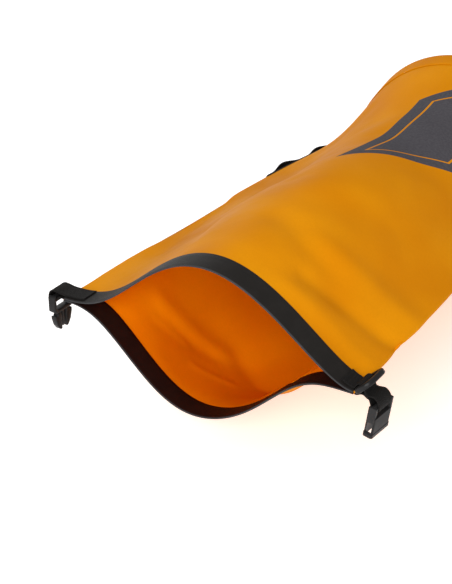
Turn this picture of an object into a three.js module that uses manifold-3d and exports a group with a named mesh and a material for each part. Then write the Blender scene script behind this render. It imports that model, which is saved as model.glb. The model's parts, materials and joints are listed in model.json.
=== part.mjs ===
// Roll-top dry bag lying on its side with its mouth open: a welded tube of coated fabric, a round
// base, a stiffened band on each lip, and a side-release buckle that hangs from the two corners.
// Millimetres. +X runs along the mouth, +Y from the mouth to the base, +Z is up.
import * as THREE from 'three';
import { mergeVertices } from 'three/addons/utils/BufferGeometryUtils.js';
import Module from 'manifold-3d';

const wasm = await Module();
wasm.setup();

// ---- driving dimensions -------------------------------------------------------------------
const MOUTH_HALF_WIDTH = 150; // half the distance between the two mouth corners
const BAG_LENGTH = 540; // mouth corners to base
const TUBE_RADIUS = 116.5; // round tube with the same girth as the mouth
const TUBE_CENTRE = { x: 4, z: -12 }; // base centre, seen from the mouth corners
const FLOOR_Z = -124; // the tube's underside lies flat at this height
const UNDERSIDE_SETTLES_AT = 0.32; // share of the length where the underside reaches the floor
// The empty tube's upper side sinks between these shares of the length.
const SAG = { depth: 18, from: 0.35, over: 0.35, lastShare: 0.22, spread: 1.6 };
const UNDERSIDE_SPREAD = 1.2; // how far round the sides the settling reaches
const LATE_SIDE = { from: 258, over: 60, lag: 0.9 }; // degrees around: this side stays up for longer
const ROUNDING = { steady: 0.47, late: 5.5 }; // how the mouth's shape turns into the base's circle

// Each lip rises as (1 + u)^left (1 - u)^right (1 + u^2 fullness), with u from -1 to 1.
const UPPER_LIP = { rise: 91.6, forward: -28.4, left: 2.63, right: 1.99, fullness: 0.28 };
const LOWER_LIP = { rise: -89.3, forward: 16.4, left: 3.83, right: 4.4, fullness: 2.13 };

const LIP_STEPS = 28; // segments along one lip
const LENGTH_ROWS = [0, 24, 50, 80, 110, 140, 170, 215, 270, 340, 410, 470, 505, 540]; // to BAG_LENGTH

// Layers at the mouth, as distances out from the middle surface of the closed corner.
const WALL = { inner: 1.1, outer: 1.9 };
const BAND_OUTER = { inner: 2.2, outer: 3.0 };
const BAND_INNER_AT_CORNER = { inner: 0.3, outer: 0.8 };
const BAND_INNER_AT_OPENING = { inner: -0.7, outer: -0.2 };
const STIFFENER = { inner: 0.15, outer: 0.75 };
const SEAM_TAPE = { inner: 0.3, outer: 0.8 };
const BASE_TAPE = { inner: 2.2, outer: 3.0 };
const LASH_PATCH = { inner: 2.2, outer: 2.9 };
const LASH_STRIP = { inner: 3.2, outer: 4.6 };

const BAND_WIDTH = 24;
const BAND_FOLD = 0.9; // thickness of the band where it turns over the lip
const STIFFENER_WIDTH = 19;
const STIFFENER_SPAN = 0.74; // share of the lip that the stiffener runs along
const SEAM_TAPE_START = 30;
const SEAM_ANGLE = 320; // where the tube's lengthwise seam runs
const BASE_TAPE_WIDTH = 20;
const TAPE_STEP_AT = BAG_LENGTH - BASE_TAPE_WIDTH - 2.5; // the tube steps up to make room for the tape
const BASE_THICKNESS = 1.4;
const BASE_TAPE_RETURN = 14; // how far the tape turns in over the base
const GAP = 0.3;

const LASH_START = 350;
const LASH_END = 493;
const LASH_LOOPS = 2;
const LASH_TACK = 9; // sewn length at each end of a loop
const LASH_LOOP_RISE = 5.5;
const LASH_HALF_WIDTH_STEPS = 2; // webbing half width in loft steps around the tube
const LASH_PATCH_MARGIN = 4;
const LASH_ANGLE = { left: 181.2, right: 358.8 }; // along the two side creases

const WEBBING_THICKNESS = 1.4;
const WEBBING_WIDTH = 20;
const WEBBING_CENTRE_Y = 12.5;
const STRAP_TAIL_X = { left: -132, right: 137 }; // where the sewn tails begin

const MALE_BAR = { x: -164.3, z: -3.6 };
const FEMALE_BAR = { x: 169.5, z: -10.5 };
const RING_BAR = { x: 154.2, z: 3.6 };
const BAR_RADIUS = 2.5;
const FEMALE_TILT = 8;
const FEMALE_YAW = 5;
const RING_LEAN = 45;

const COLOURS = {
  fabric: 0xd68800,
  band: 0x2a2724,
  stiffener: 0x1c1c1c,
  webbing: 0x24211f,
  plastic: 0x24262c,
};

const radians = THREE.MathUtils.degToRad;
const bag = new THREE.Group();

function material(colour, roughness) {
  return new THREE.MeshStandardMaterial({ color: colour, roughness, metalness: 0 });
}
const fabric = material(COLOURS.fabric, 0.45);
const bandFabric = material(COLOURS.band, 0.6);
const stiffPlastic = material(COLOURS.stiffener, 0.5);
const webbing = material(COLOURS.webbing, 0.8);
const mouldedPlastic = material(COLOURS.plastic, 0.4);

function addNode(name, geometry, finish, parent = bag) {
  const mesh = new THREE.Mesh(geometry, finish);
  mesh.name = name;
  parent.add(mesh);
  return mesh;
}

// ---- the loft: from the lens-shaped mouth to the round base --------------------------------
function lipShape(lip, u) {
  return (1 + u) ** lip.left * (1 - u) ** lip.right * (1 + lip.fullness * u * u);
}

function lipPeak(lip) {
  let peak = 0;
  for (let u = -1; u <= 1; u += 0.005) peak = Math.max(peak, lipShape(lip, u));
  return peak;
}

// Points at equal steps along a lip, from the right corner to the left one.
function lipPoints(lip) {
  const peak = lipPeak(lip);
  const samples = 600;
  const fine = [];
  for (let i = 0; i <= samples; i += 1) {
    const u = 1 - (2 * i) / samples;
    const rise = lipShape(lip, u) / peak;
    fine.push(new THREE.Vector3(MOUTH_HALF_WIDTH * u, lip.forward * rise, lip.rise * rise));
  }
  const run = [0];
  for (let i = 1; i <= samples; i += 1) run.push(run[i - 1] + fine[i].distanceTo(fine[i - 1]));
  const points = [];
  let at = 1;
  for (let k = 0; k <= LIP_STEPS; k += 1) {
    const goal = (run[samples] * k) / LIP_STEPS;
    while (at < samples && run[at] < goal) at += 1;
    const share = (goal - run[at - 1]) / (run[at] - run[at - 1]);
    points.push(fine[at - 1].clone().lerp(fine[at], share));
  }
  return points;
}

// One entry for each step around the bag: its place and outward direction at the mouth, and its
// angle around the base. Three extra entries turn the corner at each side.
const CORNER_ANGLE = 2.4;
function loftStations() {
  const stations = [];
  for (const [lip, side] of [[UPPER_LIP, 1], [LOWER_LIP, -1]]) {
    const points = lipPoints(lip);
    if (side < 0) points.reverse();
    const startAngle = side > 0 ? 0 : 180;
    points.forEach((point, k) => {
      const before = points[Math.max(k - 1, 0)];
      const after = points[Math.min(k + 1, LIP_STEPS)];
      const normal = new THREE.Vector2(after.z - before.z, before.x - after.x).normalize();
      const atCorner = k === 0 || k === LIP_STEPS;
      if (atCorner) normal.set(0, side);
      const sweep = 180 - 2 * CORNER_ANGLE;
      const angle = startAngle + CORNER_ANGLE + (sweep * k) / LIP_STEPS;
      stations.push({ point, normal, angle, side, share: k / LIP_STEPS });
    });
    const corner = points[LIP_STEPS];
    for (const turn of [-0.5, 0, 0.5]) {
      const angle = startAngle + 180 + turn * CORNER_ANGLE;
      const facing = radians(startAngle + 180 + turn * 90);
      const normal = new THREE.Vector2(Math.cos(facing), Math.sin(facing));
      stations.push({ point: corner.clone(), normal, angle, side: 0, share: 0 });
    }
  }
  return stations;
}
const stations = loftStations();
const STATION_COUNT = stations.length;

function smooth(x) {
  const s = THREE.MathUtils.clamp(x, 0, 1);
  return s * s * (3 - 2 * s);
}

// How far the section has changed from the mouth's shape to the base's.
function roundness(station, along) {
  const share = THREE.MathUtils.clamp(along / BAG_LENGTH, 0, 1);
  const slow = ROUNDING.steady * share + (1 - ROUNDING.steady) * share ** ROUNDING.late;
  const fast = smooth(share / UNDERSIDE_SETTLES_AT);
  const late = LATE_SIDE.lag * smooth((station.angle - LATE_SIDE.from) / LATE_SIDE.over);
  const underside = smooth(-Math.sin(radians(station.angle)) * UNDERSIDE_SPREAD) * (1 - late);
  return slow + (Math.max(fast, slow) - slow) * underside;
}

// How far the unsupported upper side has sunk.
function sagAt(station, along) {
  const share = THREE.MathUtils.clamp(along / BAG_LENGTH, 0, 1);
  const sunk = smooth((share - SAG.from) / SAG.over) * smooth((1 - share) / SAG.lastShare);
  return SAG.depth * sunk * smooth(Math.sin(radians(station.angle)) * SAG.spread);
}

// A point of the loft: a station, a distance from the mouth, and a distance out from the
// middle surface. The underside lies flat on the floor.
function exactPoint(station, along, out) {
  const w = roundness(station, along);
  const angle = radians(station.angle);
  const round = new THREE.Vector2(
    TUBE_CENTRE.x + TUBE_RADIUS * Math.cos(angle),
    TUBE_CENTRE.z + TUBE_RADIUS * Math.sin(angle),
  );
  const outward = new THREE.Vector2(Math.cos(angle), Math.sin(angle)).multiplyScalar(w);
  outward.addScaledVector(station.normal, 1 - w).normalize();
  const x = (1 - w) * station.point.x + w * round.x + outward.x * out;
  const z = (1 - w) * station.point.z + w * round.y + outward.y * out - sagAt(station, along);
  const y = (1 - w) * station.point.y + along;
  return new THREE.Vector3(x, y, Math.max(z, FLOOR_Z + WALL.outer - out));
}

// The same, straight between the shared rows, so that every layer follows the tube's own facets.
// At the base the tape is the lowest layer, so the tube steps up to make room for it.
function loftPoint(station, along, out) {
  const next = Math.max(1, LENGTH_ROWS.findIndex((row) => row >= along));
  const [before, after] = [LENGTH_ROWS[next - 1], LENGTH_ROWS[next]];
  const point = exactPoint(station, before, out);
  point.lerp(exactPoint(station, after, out), (along - before) / (after - before));
  const lowest = along > TAPE_STEP_AT ? BASE_TAPE.outer : WALL.outer;
  point.z = Math.max(point.z, FLOOR_Z + lowest - out);
  return point;
}

// The rows given and the shared rows that lie between them.
function withSharedRows(rows) {
  const from = Math.min(...rows);
  const to = Math.max(...rows);
  const all = new Set([...rows, ...LENGTH_ROWS.filter((row) => row > from && row < to)]);
  return [...all].sort((p, q) => p - q);
}

// ---- mesh helpers -----------------------------------------------------------------------
function distance(positions, a, b) {
  const [p, q] = [a, b].map((i) => new THREE.Vector3().fromArray(positions, i * 3));
  return p.distanceTo(q);
}

// A closed body from a grid of sections, each a closed ring of points. The sections either
// run round to the first one again (looped) or are capped at both ends.
function sweptSolid(sections, looped) {
  const ring = sections[0].length;
  const positions = sections.flat().flatMap((p) => [p.x, p.y, p.z]);
  const index = [];
  const rows = looped ? sections.length : sections.length - 1;
  for (let i = 0; i < rows; i += 1) {
    const next = (i + 1) % sections.length;
    for (let j = 0; j < ring; j += 1) {
      const across = (j + 1) % ring;
      const a = i * ring + j;
      const b = i * ring + across;
      const c = next * ring + across;
      const d = next * ring + j;
      const shorter = distance(positions, a, c) <= distance(positions, b, d);
      if (shorter) index.push(a, b, c, a, c, d);
      else index.push(a, b, d, b, c, d);
    }
  }
  if (!looped) {
    const last = (sections.length - 1) * ring;
    for (const [offset, flip] of [[0, true], [last, false]]) {
      for (const [a, b, c] of capTriangles(sections[offset / ring])) {
        if (flip) index.push(offset + c, offset + b, offset + a);
        else index.push(offset + a, offset + b, offset + c);
      }
    }
  }
  const geometry = new THREE.BufferGeometry();
  geometry.setAttribute('position', new THREE.Float32BufferAttribute(positions, 3));
  geometry.setIndex(index);
  return facingOut(geometry);
}

// Triangles that fill a ring of points, found in the plane that the ring lies closest to.
function capTriangles(ring) {
  const normal = new THREE.Vector3();
  ring.forEach((p, i) => {
    const q = ring[(i + 1) % ring.length];
    normal.x += (p.y - q.y) * (p.z + q.z);
    normal.y += (p.z - q.z) * (p.x + q.x);
    normal.z += (p.x - q.x) * (p.y + q.y);
  });
  normal.normalize();
  const sideways = Math.abs(normal.z) < 0.9 ? new THREE.Vector3(0, 0, 1) : new THREE.Vector3(1, 0, 0);
  const across = sideways.cross(normal).normalize();
  const up = normal.clone().cross(across);
  const flat = ring.map((p) => new THREE.Vector2(p.dot(across), p.dot(up)));
  return THREE.ShapeUtils.triangulateShape(flat, []);
}

function volumeOf(geometry) {
  const p = geometry.attributes.position;
  const index = geometry.index.array;
  const corners = [new THREE.Vector3(), new THREE.Vector3(), new THREE.Vector3()];
  let volume = 0;
  for (let i = 0; i < index.length; i += 3) {
    corners.forEach((corner, k) => corner.fromBufferAttribute(p, index[i + k]));
    volume += corners[0].dot(corners[1].clone().cross(corners[2])) / 6;
  }
  return volume;
}

function facingOut(geometry) {
  if (volumeOf(geometry) > 0) return geometry;
  const index = Array.from(geometry.index.array);
  for (let i = 0; i < index.length; i += 3) [index[i], index[i + 1]] = [index[i + 1], index[i]];
  geometry.setIndex(index);
  return geometry;
}

// ---- booleans ---------------------------------------------------------------------------
function merged(geometry) {
  const plain = geometry.clone();
  plain.deleteAttribute('normal');
  plain.deleteAttribute('uv');
  return mergeVertices(plain, 1e-4);
}

function solid(geometry) {
  const whole = merged(geometry);
  const vertProperties = new Float32Array(whole.attributes.position.array);
  const triVerts = new Uint32Array(whole.index.array);
  return new wasm.Manifold(new wasm.Mesh({ numProp: 3, vertProperties, triVerts }));
}

function geometryOf(manifold) {
  const mesh = manifold.getMesh();
  const geometry = new THREE.BufferGeometry();
  geometry.setAttribute('position', new THREE.Float32BufferAttribute(mesh.vertProperties, 3));
  geometry.setIndex(Array.from(mesh.triVerts));
  return geometry;
}

function box(sizeX, sizeY, sizeZ, x, y, z) {
  return solid(new THREE.BoxGeometry(sizeX, sizeY, sizeZ).translate(x, y, z));
}

// A cylinder along Y, such as the bar that webbing runs round.
function barAlongY(radius, length) {
  return solid(new THREE.CylinderGeometry(radius, radius, length, 16));
}

// An outline of [y, z] points, made this thick along X with its middle at x = 0.
function plateAcrossX(outline, thickness, bevel, holes = []) {
  const shape = new THREE.Shape(outline.map(([y, z]) => new THREE.Vector2(y, z)));
  holes.forEach((hole) => {
    const points = hole.map(([y, z]) => new THREE.Vector2(y, z));
    shape.holes.push(new THREE.Path(points));
  });
  const geometry = new THREE.ExtrudeGeometry(shape, {
    depth: thickness - 2 * bevel,
    bevelEnabled: bevel > 0,
    bevelThickness: bevel,
    bevelSize: bevel,
    bevelOffset: -bevel,
    bevelSegments: 1,
  });
  geometry.translate(0, 0, bevel - thickness / 2);
  geometry.rotateX(Math.PI / 2);
  geometry.rotateZ(Math.PI / 2);
  return geometry;
}

// ---- fabric tube and base -----------------------------------------------------------------
function bodyPanel() {
  const rows = withSharedRows([0, TAPE_STEP_AT, TAPE_STEP_AT + 1, BAG_LENGTH]);
  const sections = stations.map((station) => [
    ...rows.map((row) => loftPoint(station, row, WALL.outer)),
    ...rows.toReversed().map((row) => loftPoint(station, row, WALL.inner)),
  ]);
  return sweptSolid(sections, true);
}

// A disc a little behind the end of the tube, as wide as the tube.
function basePanel() {
  const outline = (along) => stations.map((station) => {
    const point = loftPoint(station, BAG_LENGTH, WALL.outer);
    point.y = along;
    return point;
  });
  const front = BAG_LENGTH + GAP;
  return sweptSolid([outline(front), outline(front + BASE_THICKNESS)], false);
}

// Tape over the joint: one leg lies on the tube and one turns in over the base.
function baseSeamTape() {
  const start = BAG_LENGTH - BASE_TAPE_WIDTH;
  const baseBack = BAG_LENGTH + GAP + BASE_THICKNESS + GAP;
  const tapeBack = baseBack + BASE_TAPE.outer - BASE_TAPE.inner;
  const sections = stations.map((station) => {
    const at = (along, out) => {
      const point = loftPoint(station, Math.min(along, BAG_LENGTH), out);
      point.y += Math.max(along - BAG_LENGTH, 0);
      return point;
    };
    return [
      at(start, BASE_TAPE.outer),
      at(BAG_LENGTH, BASE_TAPE.outer),
      at(tapeBack, BASE_TAPE.outer),
      at(tapeBack, -BASE_TAPE_RETURN),
      at(baseBack, -BASE_TAPE_RETURN),
      at(baseBack, BASE_TAPE.inner),
      at(BAG_LENGTH, BASE_TAPE.inner),
      at(start, BASE_TAPE.inner),
    ];
  });
  return sweptSolid(sections, true);
}

// A strip that runs along the tube between two distances, a few steps wide around it.
function lengthwiseStrip(centre, halfSteps, layer, rows, riseAt = () => 0) {
  const sections = rows.map((row) => {
    const rise = riseAt(row);
    const outer = [];
    const inner = [];
    for (let step = -halfSteps; step <= halfSteps; step += 1) {
      const station = stations[(centre + step + STATION_COUNT) % STATION_COUNT];
      outer.push(loftPoint(station, row, layer.outer + rise));
      inner.unshift(loftPoint(station, row, layer.inner + rise));
    }
    return [...outer, ...inner];
  });
  return sweptSolid(sections, false);
}

function stationAtAngle(degrees) {
  let best = 0;
  stations.forEach((station, i) => {
    if (Math.abs(station.angle - degrees) < Math.abs(stations[best].angle - degrees)) best = i;
  });
  return best;
}

function bodySeamTape() {
  const rows = withSharedRows([SEAM_TAPE_START, BAG_LENGTH - 2]);
  return lengthwiseStrip(stationAtAngle(SEAM_ANGLE), 1, SEAM_TAPE, rows);
}

// ---- lash strips: webbing sewn down at intervals so that it stands up in loops --------------
function lashRise(along) {
  const pitch = (LASH_END - LASH_START - LASH_TACK) / LASH_LOOPS;
  const within = (along - LASH_START) % pitch;
  if (within < LASH_TACK) return 0;
  return LASH_LOOP_RISE * Math.sin((Math.PI * (within - LASH_TACK)) / (pitch - LASH_TACK)) ** 2;
}

function lashStrip(angle) {
  const pitch = (LASH_END - LASH_START - LASH_TACK) / LASH_LOOPS;
  const rows = [];
  for (let loop = 0; loop < LASH_LOOPS; loop += 1) {
    const start = LASH_START + loop * pitch;
    const rest = pitch - LASH_TACK;
    rows.push(start, start + LASH_TACK);
    for (const share of [0.2, 0.5, 0.8]) rows.push(start + LASH_TACK + rest * share);
  }
  rows.push(LASH_END - LASH_TACK, LASH_END);
  const halfSteps = LASH_HALF_WIDTH_STEPS;
  return lengthwiseStrip(stationAtAngle(angle), halfSteps, LASH_STRIP, withSharedRows(rows), lashRise);
}

function lashPatch(angle) {
  const rows = withSharedRows([LASH_START - LASH_PATCH_MARGIN, LASH_END + LASH_PATCH_MARGIN]);
  return lengthwiseStrip(stationAtAngle(angle), LASH_HALF_WIDTH_STEPS + 1, LASH_PATCH, rows);
}

// ---- lip bands and stiffeners ---------------------------------------------------------------
// The inner leg stands further in where the mouth is open, to leave room for the stiffener.
function innerLeg(share) {
  const edge = Math.min(share, 1 - share);
  const open = smooth((edge - 0.05) / 0.06);
  const mix = (key) => THREE.MathUtils.lerp(BAND_INNER_AT_CORNER[key], BAND_INNER_AT_OPENING[key], open);
  return { inner: mix('inner'), outer: mix('outer') };
}

// A strip folded over the lip: a U in section, with its legs on both faces of the tube.
function lipBand(side) {
  const sections = stations.filter((station) => station.side === side).map((station) => {
    const leg = innerLeg(station.share);
    const at = (along, out) => {
      const point = loftPoint(station, Math.max(along, 0), out);
      point.y += Math.min(along, 0);
      return point;
    };
    return [
      at(BAND_WIDTH, BAND_OUTER.outer),
      at(BAND_WIDTH / 2, BAND_OUTER.outer),
      at(-GAP - BAND_FOLD, BAND_OUTER.outer),
      at(-GAP - BAND_FOLD, leg.inner),
      at(BAND_WIDTH / 2, leg.inner),
      at(BAND_WIDTH, leg.inner),
      at(BAND_WIDTH, leg.outer),
      at(BAND_WIDTH / 2, leg.outer),
      at(-GAP, leg.outer),
      at(-GAP, BAND_OUTER.inner),
      at(BAND_WIDTH / 2, BAND_OUTER.inner),
      at(BAND_WIDTH, BAND_OUTER.inner),
    ];
  });
  return sweptSolid(sections, false);
}

function lipStiffener(side) {
  const trimmed = (1 - STIFFENER_SPAN) / 2;
  const kept = stations.filter((station) => station.side === side
    && station.share >= trimmed && station.share <= 1 - trimmed);
  const start = 2;
  const sections = kept.map((station) => [
    loftPoint(station, start, STIFFENER.outer),
    loftPoint(station, start + STIFFENER_WIDTH, STIFFENER.outer),
    loftPoint(station, start + STIFFENER_WIDTH, STIFFENER.inner),
    loftPoint(station, start, STIFFENER.inner),
  ]);
  return sweptSolid(sections, false);
}

// ---- webbing: a path in the XZ plane with the webbing's thickness and width ------------------
function webbingAlong(path, steps, centreY = WEBBING_CENTRE_Y) {
  const knots = path.map(([x, z]) => new THREE.Vector3(x, 0, z));
  const curve = new THREE.CatmullRomCurve3(knots, false, 'centripetal');
  const sections = [];
  for (let i = 0; i <= steps; i += 1) {
    const centre = curve.getPointAt(i / steps);
    const along = curve.getTangentAt(i / steps);
    const normal = new THREE.Vector3(-along.z, 0, along.x).multiplyScalar(WEBBING_THICKNESS / 2);
    const near = centreY - WEBBING_WIDTH / 2;
    const far = centreY + WEBBING_WIDTH / 2;
    const corners = [[1, near], [1, far], [-1, far], [-1, near]];
    sections.push(corners.map(([side, y]) => centre.clone().addScaledVector(normal, side).setY(y)));
  }
  return sweptSolid(sections, false);
}

const TAIL_OFFSET = BAND_OUTER.outer + 4 * GAP + WEBBING_THICKNESS / 2;
const PINCH = WEBBING_THICKNESS / 2 + 0.25; // half the distance between two layers sewn together

// A point of a sewn tail: on the band of this lip, at this distance from the bag's middle.
function tailPoint(lip, x) {
  const height = (at) => (lip.rise * lipShape(lip, at / MOUTH_HALF_WIDTH)) / lipPeak(lip);
  const slope = height(x + 0.5) - height(x - 0.5);
  const up = new THREE.Vector2(-slope, 1).setLength(TAIL_OFFSET * Math.sign(lip.rise));
  return [x + up.x, height(x) + up.y];
}

// The left strap: two tails sewn to the corner, and a loop beyond them that holds the male buckle.
function leftStrapAnchor() {
  const corner = -MOUTH_HALF_WIDTH;
  const tail = [STRAP_TAIL_X.left, STRAP_TAIL_X.left - 6, corner + 7, corner + 2];
  return webbingAlong([
    ...tail.map((x) => tailPoint(UPPER_LIP, x)),
    [corner - 2, TAIL_OFFSET - 0.4], [corner - 4.4, PINCH + 0.6], [corner - 5, 0],
    [corner - 4.4, -PINCH - 0.6], [corner - 2, 0.4 - TAIL_OFFSET],
    ...tail.toReversed().map((x) => tailPoint(LOWER_LIP, x)),
  ], 30);
}

const LEFT_FLEX = { x: -158.2, z: 0 };
const RIGHT_FLEX = { x: 161.6, z: -2.6 };
const BAR_CLEARANCE = 0.5;

function leftStrapLoop() {
  const { x, z } = MALE_BAR;
  const root = LEFT_FLEX.x - 1.4;
  const round = BAR_RADIUS + BAR_CLEARANCE + WEBBING_THICKNESS / 2;
  return webbingAlong([
    [root, PINCH], [root - 1.4, PINCH + 2], [x - 1, z + round + 3.2], [x - 4.4, z + round + 1.2],
    [x - 6, z - 0.4], [x - 4.4, z - round + 0.6], [x - 1.2, z - round - 0.4],
    [x + 2, z - round + 0.4], [root - 0.6, -PINCH - 0.8], [root, -PINCH],
  ], 26);
}

// The right strap: the anchor closes round the ring's bar, and the loop holds the female buckle.
function rightStrapAnchor() {
  const corner = MOUTH_HALF_WIDTH;
  const { x, z } = RING_BAR;
  const round = BAR_RADIUS + BAR_CLEARANCE + WEBBING_THICKNESS / 2;
  const tail = [STRAP_TAIL_X.right, STRAP_TAIL_X.right + 4, corner - 5, corner - 2];
  return webbingAlong([
    ...tail.map((at) => tailPoint(UPPER_LIP, at)),
    [corner + 0.6, TAIL_OFFSET + 1.5], [x - 0.4, z + round + 0.2], [x + 3, z + round - 1],
    [x + 4.1, z - 0.4], [x + 3.1, z - round + 0.2], [x + 0.4, z - round - 0.9], [corner + 0.8, -TAIL_OFFSET],
    ...tail.toReversed().map((at) => tailPoint(LOWER_LIP, at)),
  ], 32);
}

// Drawn from the female buckle's bar, which its group is turned about.
function rightStrapLoop() {
  const root = RIGHT_FLEX.x + 1.9 - FEMALE_BAR.x;
  const middle = RIGHT_FLEX.z - FEMALE_BAR.z;
  const round = BAR_RADIUS + BAR_CLEARANCE + WEBBING_THICKNESS / 2;
  const diagonal = round * Math.SQRT1_2;
  return webbingAlong([
    [root, middle + PINCH], [root + 3.4, middle + PINCH + 0.7], [1.6, round + 3.6],
    [round - 0.4, round + 0.4], [round, 0], [diagonal, -diagonal], [0, -round],
    [-diagonal, -diagonal], [-round, 0], [root + 0.6, round],
    [root - 0.2, middle - PINCH - 1], [root, middle - PINCH],
  ], 28, 0);
}

// ---- buckles: z = 0 is the webbing bar and the buckle hangs down from it ---------------------
const MALE = { halfWidth: 13.8, thickness: 8, railWidth: 3.2, crossTop: -12.4, crossBottom: -16 };
const GUIDE = { halfWidth: 1.3, thickness: 4, end: -33 };
const ARM_THICKNESS = 6;

function maleFrame() {
  const w = MALE.halfWidth;
  const inner = w - MALE.railWidth;
  const rails = plateAcrossX([
    [-w, BAR_RADIUS - 1], [-w, MALE.crossBottom + 3], [-w + 3, MALE.crossBottom], [w - 3, MALE.crossBottom],
    [w, MALE.crossBottom + 3], [w, BAR_RADIUS - 1], [w - 1.2, BAR_RADIUS], [inner, BAR_RADIUS],
    [inner, MALE.crossTop + 2], [inner - 2, MALE.crossTop], [2 - inner, MALE.crossTop],
    [-inner, MALE.crossTop + 2], [-inner, BAR_RADIUS], [-w + 1.2, BAR_RADIUS],
  ], MALE.thickness, 0.7);
  const guideHeight = MALE.crossTop - 1.5 - GUIDE.end;
  const guideMiddle = GUIDE.end + guideHeight / 2;
  const guide = box(GUIDE.thickness, 2 * GUIDE.halfWidth, guideHeight, 0, 0, guideMiddle);
  return geometryOf(solid(rails).add(barAlongY(BAR_RADIUS, 2 * inner + 1)).add(guide));
}

// One sprung arm: a stem from the cross bar, a locking shoulder, and a tapered nose.
function maleArm(side) {
  const outline = [
    [4.4, -16.4], [7.8, -16.4], [9.4, -20], [12.2, -18.6], [12.1, -22], [9.9, -29.4], [6.6, -34.2],
    [4.4, -35.5], [3.1, -34.6], [3.1, -22],
  ].map(([y, z]) => [side * y, z]);
  if (side < 0) outline.reverse();
  return plateAcrossX(outline, ARM_THICKNESS, 0.5);
}

const FEMALE = { halfWidth: 13.8, thickness: 8.6, wall: 1.2, top: -8.2, bottom: -27.6, webThickness: 2 };
const CHEEK = { width: 3.2, height: 12, middle: -4, inset: 0.7 };
const COLLAR = { height: 3.6, proud: 0.4 };
const WINDOW = { top: -12.6, bottom: -22.6, depth: 4.6 };

function roundedBar(halfY, halfX, zTop, zBottom, radius) {
  const shape = new THREE.Shape();
  const corners = [[1, 1, 0], [-1, 1, 90], [-1, -1, 180], [1, -1, 270]];
  corners.forEach(([sx, sy, start]) => {
    const cx = sx * (halfX - radius);
    const cy = sy * (halfY - radius);
    shape.absarc(cx, cy, radius, radians(start), radians(start + 90), false);
  });
  const geometry = new THREE.ExtrudeGeometry(shape, {
    depth: zTop - zBottom, bevelEnabled: false, curveSegments: 4,
  });
  return solid(geometry.translate(0, 0, zBottom));
}

function femaleHousing() {
  const { halfWidth, thickness, wall, top, bottom, webThickness } = FEMALE;
  const halfX = thickness / 2;
  let body = roundedBar(halfWidth, halfX, top, bottom, 2);
  const collarBottom = bottom;
  const collarTop = bottom + COLLAR.height;
  body = body.add(roundedBar(halfWidth + COLLAR.proud, halfX + COLLAR.proud, collarTop, collarBottom, 2.2));
  body = body.subtract(roundedBar(halfWidth - wall, halfX - wall, top - webThickness, bottom - 1, 1.2));
  const windowHeight = WINDOW.top - WINDOW.bottom;
  const windowMiddle = (WINDOW.top + WINDOW.bottom) / 2;
  for (const side of [1, -1]) {
    const y = side * (halfWidth - WINDOW.depth / 2 + 1);
    body = body.subtract(box(2 * halfX - 2 * wall - 0.4, WINDOW.depth + 2, windowHeight, 0, y, windowMiddle));
    const cheekY = side * (halfWidth - CHEEK.width / 2);
    const cheek = box(thickness - 2 * CHEEK.inset, CHEEK.width, CHEEK.height, 0, cheekY, CHEEK.middle);
    body = body.add(cheek);
  }
  return geometryOf(body.add(barAlongY(BAR_RADIUS, 2 * halfWidth - 4)));
}

// ---- D-ring: a flat bar inside the strap and a bow, drawn as [y, z] with the bar's axis at z = 0
const RING = { halfWidth: 16.5, section: 5, reach: 20, bowRadius: 11.5, bevel: 1.3 };

function dRing() {
  const outline = (inset) => {
    const w = RING.halfWidth - inset;
    const low = -RING.section / 2 + inset;
    const high = RING.reach - RING.section / 2 - inset;
    const r = RING.bowRadius - inset;
    const foot = Math.max(3.2 - inset * 0.4, 1);
    const points = [];
    const arc = (cy, cz, radius, from, to, steps) => {
      for (let i = 0; i <= steps; i += 1) {
        const a = radians(from + ((to - from) * i) / steps);
        points.push([cy + radius * Math.cos(a), cz + radius * Math.sin(a)]);
      }
    };
    arc(w - foot, low + foot, foot, -90, 0, 3);
    arc(w - r, high - r, r, 0, 90, 6);
    arc(-w + r, high - r, r, 90, 180, 6);
    arc(-w + foot, low + foot, foot, 180, 270, 3);
    return points;
  };
  return plateAcrossX(outline(0), RING.section, RING.bevel, [outline(RING.section)]);
}

// ---- assembly ---------------------------------------------------------------------------
addNode('body_panel', bodyPanel(), fabric);
addNode('base_panel', basePanel(), fabric);
addNode('base_seam_tape', baseSeamTape(), fabric);
addNode('body_seam_tape', bodySeamTape(), fabric);
for (const [name, side] of [['upper', 1], ['lower', -1]]) {
  addNode(`${name}_band`, lipBand(side), bandFabric);
  addNode(`${name}_stiffener`, lipStiffener(side), stiffPlastic);
}
for (const [name, angle] of Object.entries(LASH_ANGLE)) {
  addNode(`lash_patch_${name}`, lashPatch(angle), bandFabric);
  addNode(`lash_strip_${name}`, lashStrip(angle), webbing);
}
addNode('left_strap_anchor', leftStrapAnchor(), webbing);
addNode('left_strap_loop', leftStrapLoop(), webbing);
addNode('right_strap_anchor', rightStrapAnchor(), webbing);

const maleBuckle = new THREE.Group();
maleBuckle.position.set(MALE_BAR.x, WEBBING_CENTRE_Y, MALE_BAR.z);
bag.add(maleBuckle);
addNode('male_buckle_frame', maleFrame(), mouldedPlastic, maleBuckle);
addNode('male_arm_front', maleArm(-1), mouldedPlastic, maleBuckle);
addNode('male_arm_rear', maleArm(1), mouldedPlastic, maleBuckle);

// The loop and the buckle are turned a little towards the back of the bag.
const femaleEnd = new THREE.Group();
femaleEnd.position.set(FEMALE_BAR.x, WEBBING_CENTRE_Y, FEMALE_BAR.z);
femaleEnd.rotation.z = radians(-FEMALE_YAW);
bag.add(femaleEnd);
addNode('right_strap_loop', rightStrapLoop(), webbing, femaleEnd);

const femaleBuckle = new THREE.Group();
femaleBuckle.rotation.y = radians(FEMALE_TILT);
femaleEnd.add(femaleBuckle);
addNode('female_buckle_housing', femaleHousing(), mouldedPlastic, femaleBuckle);

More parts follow.
